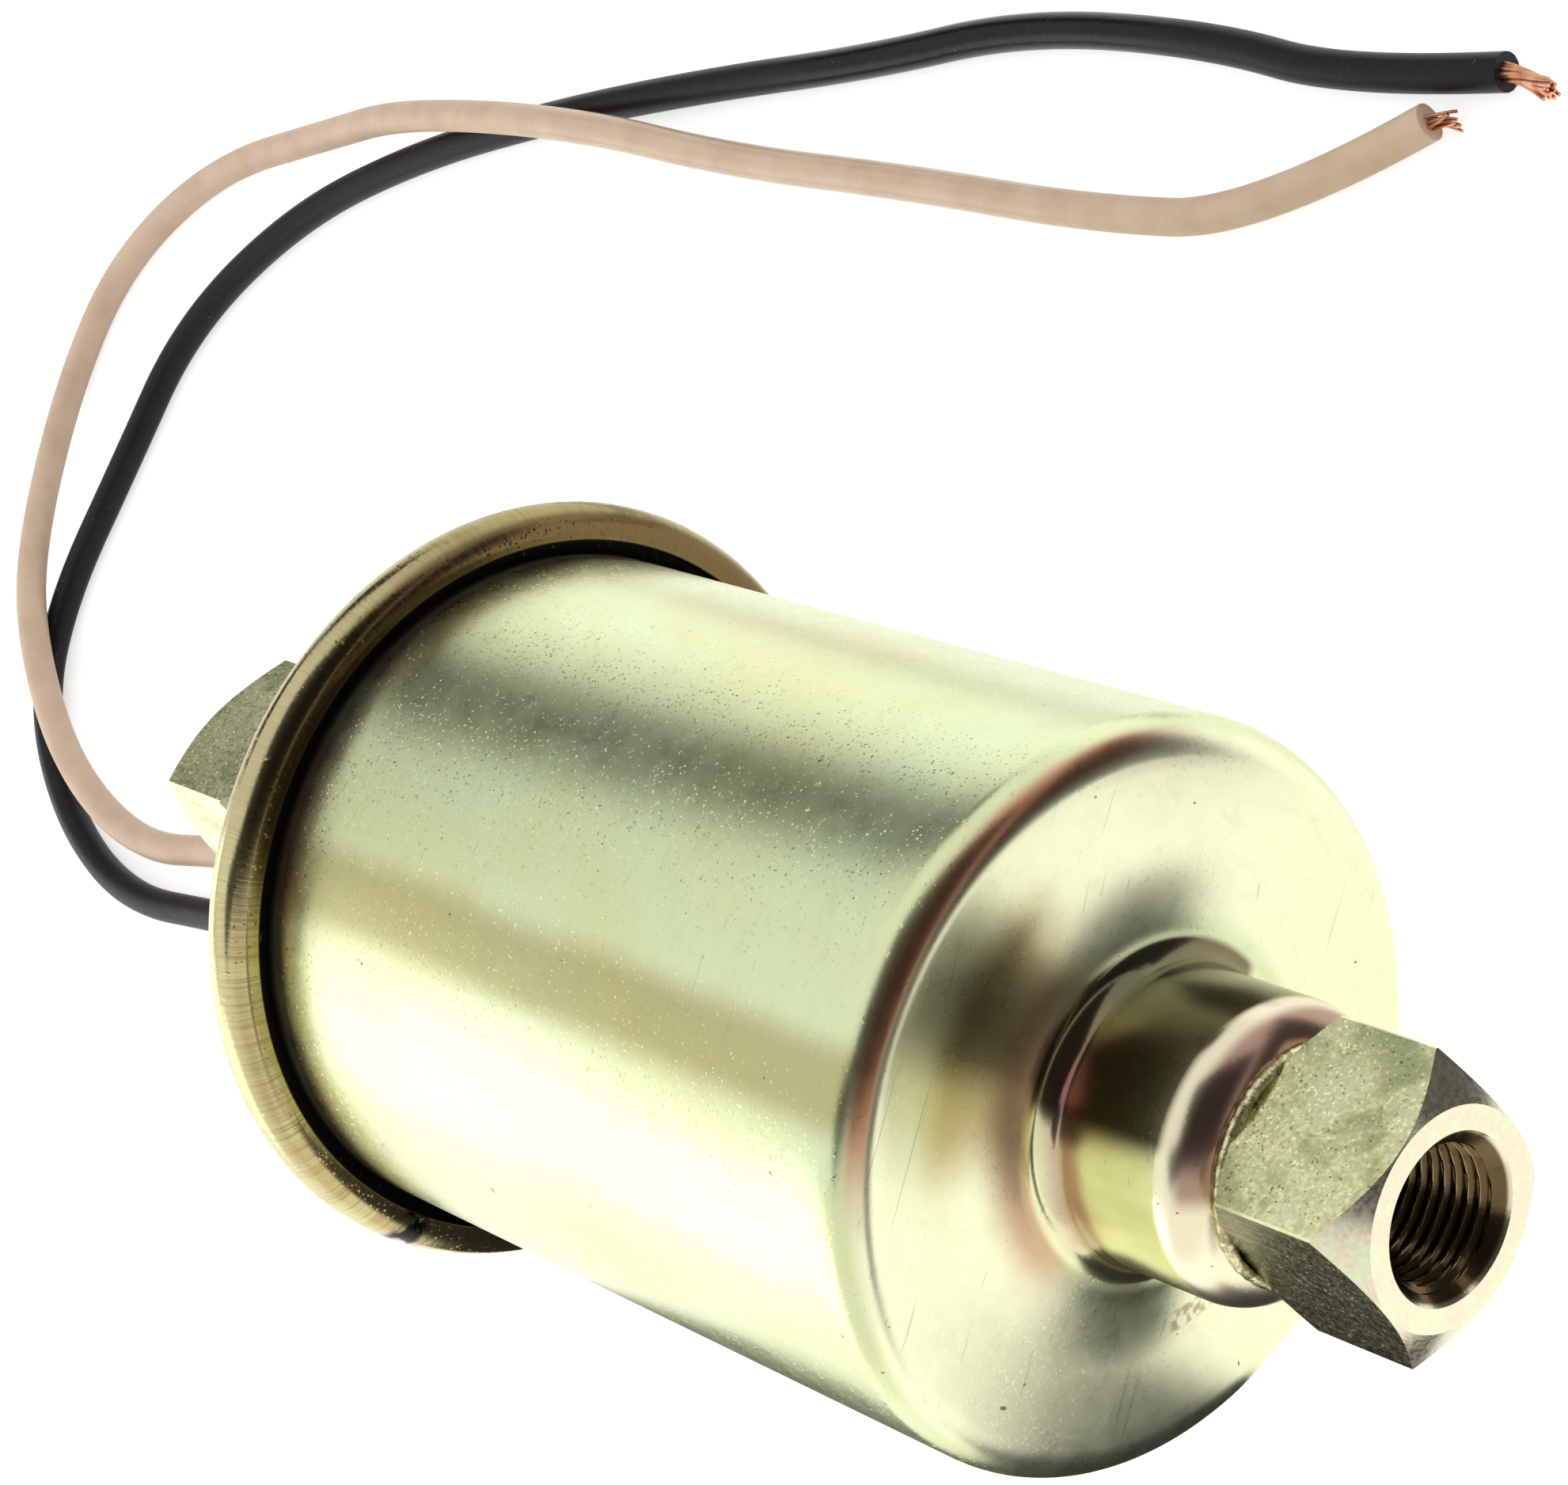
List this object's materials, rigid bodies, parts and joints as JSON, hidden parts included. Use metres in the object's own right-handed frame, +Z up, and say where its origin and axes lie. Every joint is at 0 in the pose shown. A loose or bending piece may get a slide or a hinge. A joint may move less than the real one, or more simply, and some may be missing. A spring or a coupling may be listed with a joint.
{
  "type": "inline fuel pump",
  "caption": "Cylindrical electric solenoid fuel pump with a plated steel can, rolled seam, threaded square port fittings and two loose leads.",
  "frame": {"origin": "on the pump's axis, in the middle of the can's straight wall, where a mounting band grips it", "axes": "+X along the axis towards the outlet, +Z up, with the leads lying behind and to the +Y side"},
  "size_m": [0.2211, 0.1054, 0.0578],
  "materials": {
    "plated_steel": "yellow zinc plated, satin",
    "plated_fitting": "yellow zinc plated, satin",
    "braze": "as brazed",
    "black_rubber": "matt",
    "tan_insulation": "matt",
    "black_insulation": "satin",
    "copper": "bare strands",
    "brass": "turned",
    "steel_mesh": "woven",
    "valve_rubber": "matt",
    "spring_steel": "drawn",
    "plunger_steel": "ground",
    "nylon": "moulded",
    "enamelled_copper": "enamelled",
    "frame_steel": "plain",
    "board": "solder resist",
    "component_black": "moulded",
    "resistor_body": "lacquered"
  },
  "bodies": {
    "root": {"can_housing": "plated_steel", "outlet_fitting": "plated_fitting", "inlet_fitting": "plated_fitting", "outlet_braze_ring": "braze", "inlet_braze_ring": "braze", "rear_cover": "plated_steel", "seam_gasket": "black_rubber", "lead_grommets": "black_rubber", "tan_lead": "tan_insulation", "black_lead": "black_insulation", "tan_lead_strands": "copper", "black_lead_strands": "copper", "plunger_tube": "brass", "tube_o_rings": "black_rubber", "port_washers": "black_rubber", "filter_screen": "steel_mesh", "inlet_valve_seat": "brass", "inlet_valve_cage": "brass", "inlet_valve_spring": "spring_steel", "return_spring": "spring_steel", "bumper_ring": "black_rubber", "bumper_seat": "brass", "coil_bobbin": "nylon", "coil_winding": "enamelled_copper", "magnet_frame": "frame_steel", "rear_pole_washer": "frame_steel", "front_pole_washer": "frame_steel", "coil_tails": "enamelled_copper", "rear_spacer": "nylon", "front_spacer": "nylon", "circuit_board": "board", "transistor": "component_black", "capacitor": "component_black", "diode": "component_black", "resistors": "resistor_body"},
    "plunger": {"plunger": "plunger_steel", "plunger_valve_retainer": "brass", "plunger_valve_spring": "spring_steel"},
    "inlet_valve": {"inlet_valve_disc": "valve_rubber"},
    "plunger_valve": {"plunger_valve_disc": "valve_rubber"}
  },
  "joints": [
    {"name": "plunger_slide", "type": "slide", "parent": "root", "child": "plunger", "axis": [-1, 0, 0], "range_m": [0, 0.012], "stiffness_N_per_m": 150, "springref_m": -0.006, "deforming": ["return_spring"]},
    {"name": "inlet_valve_lift", "type": "slide", "parent": "root", "child": "inlet_valve", "axis": [1, 0, 0], "range_m": [0, 0.002], "stiffness_N_per_m": 30, "springref_m": -0.001, "deforming": ["inlet_valve_spring"]},
    {"name": "plunger_valve_lift", "type": "slide", "parent": "plunger", "child": "plunger_valve", "axis": [1, 0, 0], "range_m": [0, 0.002], "stiffness_N_per_m": 30, "springref_m": -0.001, "deforming": ["plunger_valve_spring"]}
  ]
}
